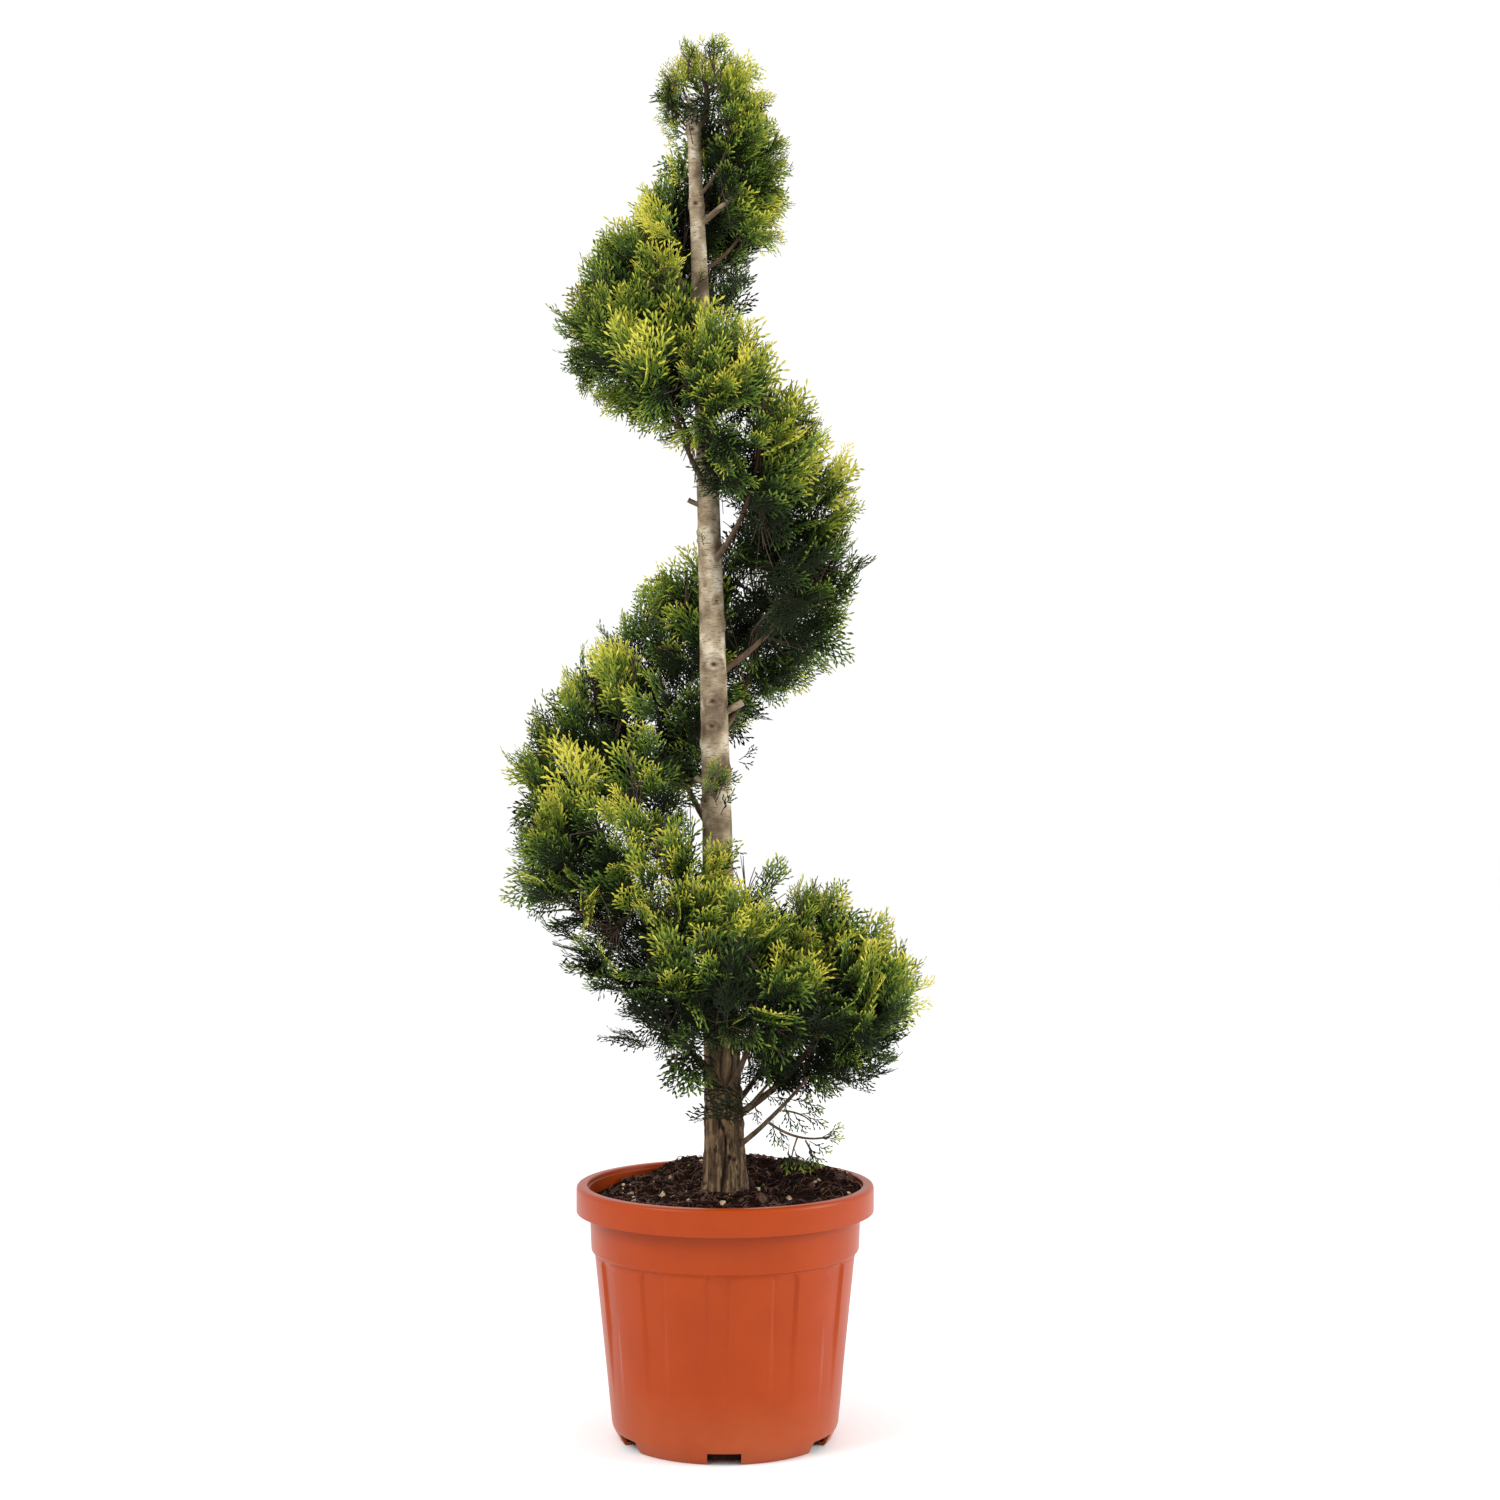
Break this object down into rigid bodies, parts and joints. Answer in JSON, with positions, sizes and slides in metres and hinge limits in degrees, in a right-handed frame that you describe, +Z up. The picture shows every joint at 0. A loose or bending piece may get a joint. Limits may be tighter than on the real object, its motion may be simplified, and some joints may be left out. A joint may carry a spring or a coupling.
{
  "type": "potted spiral topiary conifer",
  "caption": "Small conifer clipped to a rising spiral of foliage round a bare trunk, standing in a round fluted nursery pot filled with soil.",
  "frame": {"origin": "middle of the pot's flat underside", "axes": "+Z up along the pot's axis, -Y towards the front, where the lower turn of foliage crosses the trunk"},
  "size_m": [0.4278, 0.3629, 1.411],
  "materials": {
    "plastic": "satin moulded orange-brown plastic",
    "soil": "moist dark potting soil with bark fibres",
    "bark": "grey-brown bark, fissured at the foot and smooth above",
    "foliage": "scale-leaved sprays, dark green inside and yellow-green at the tips"
  },
  "bodies": {
    "root": {"pot": "plastic", "soil": "soil", "trunk": "bark", "leader": "bark", "foliage_tip": "foliage", "bough_01": "bark", "foliage_01": "foliage", "bough_02": "bark", "foliage_02": "foliage", "bough_03": "bark", "foliage_03": "foliage", "bough_04": "bark", "foliage_04": "foliage", "bough_05": "bark", "foliage_05": "foliage", "bough_06": "bark", "foliage_06": "foliage", "bough_07": "bark", "foliage_07": "foliage", "bough_08": "bark", "foliage_08": "foliage", "bough_09": "bark", "foliage_09": "foliage", "bough_10": "bark", "foliage_10": "foliage", "bough_11": "bark", "foliage_11": "foliage", "bough_12": "bark", "foliage_12": "foliage", "bough_13": "bark", "foliage_13": "foliage", "bough_14": "bark", "foliage_14": "foliage", "bough_15": "bark", "foliage_15": "foliage", "bough_16": "bark", "foliage_16": "foliage", "bough_17": "bark", "foliage_17": "foliage"}
  },
  "joints": []
}
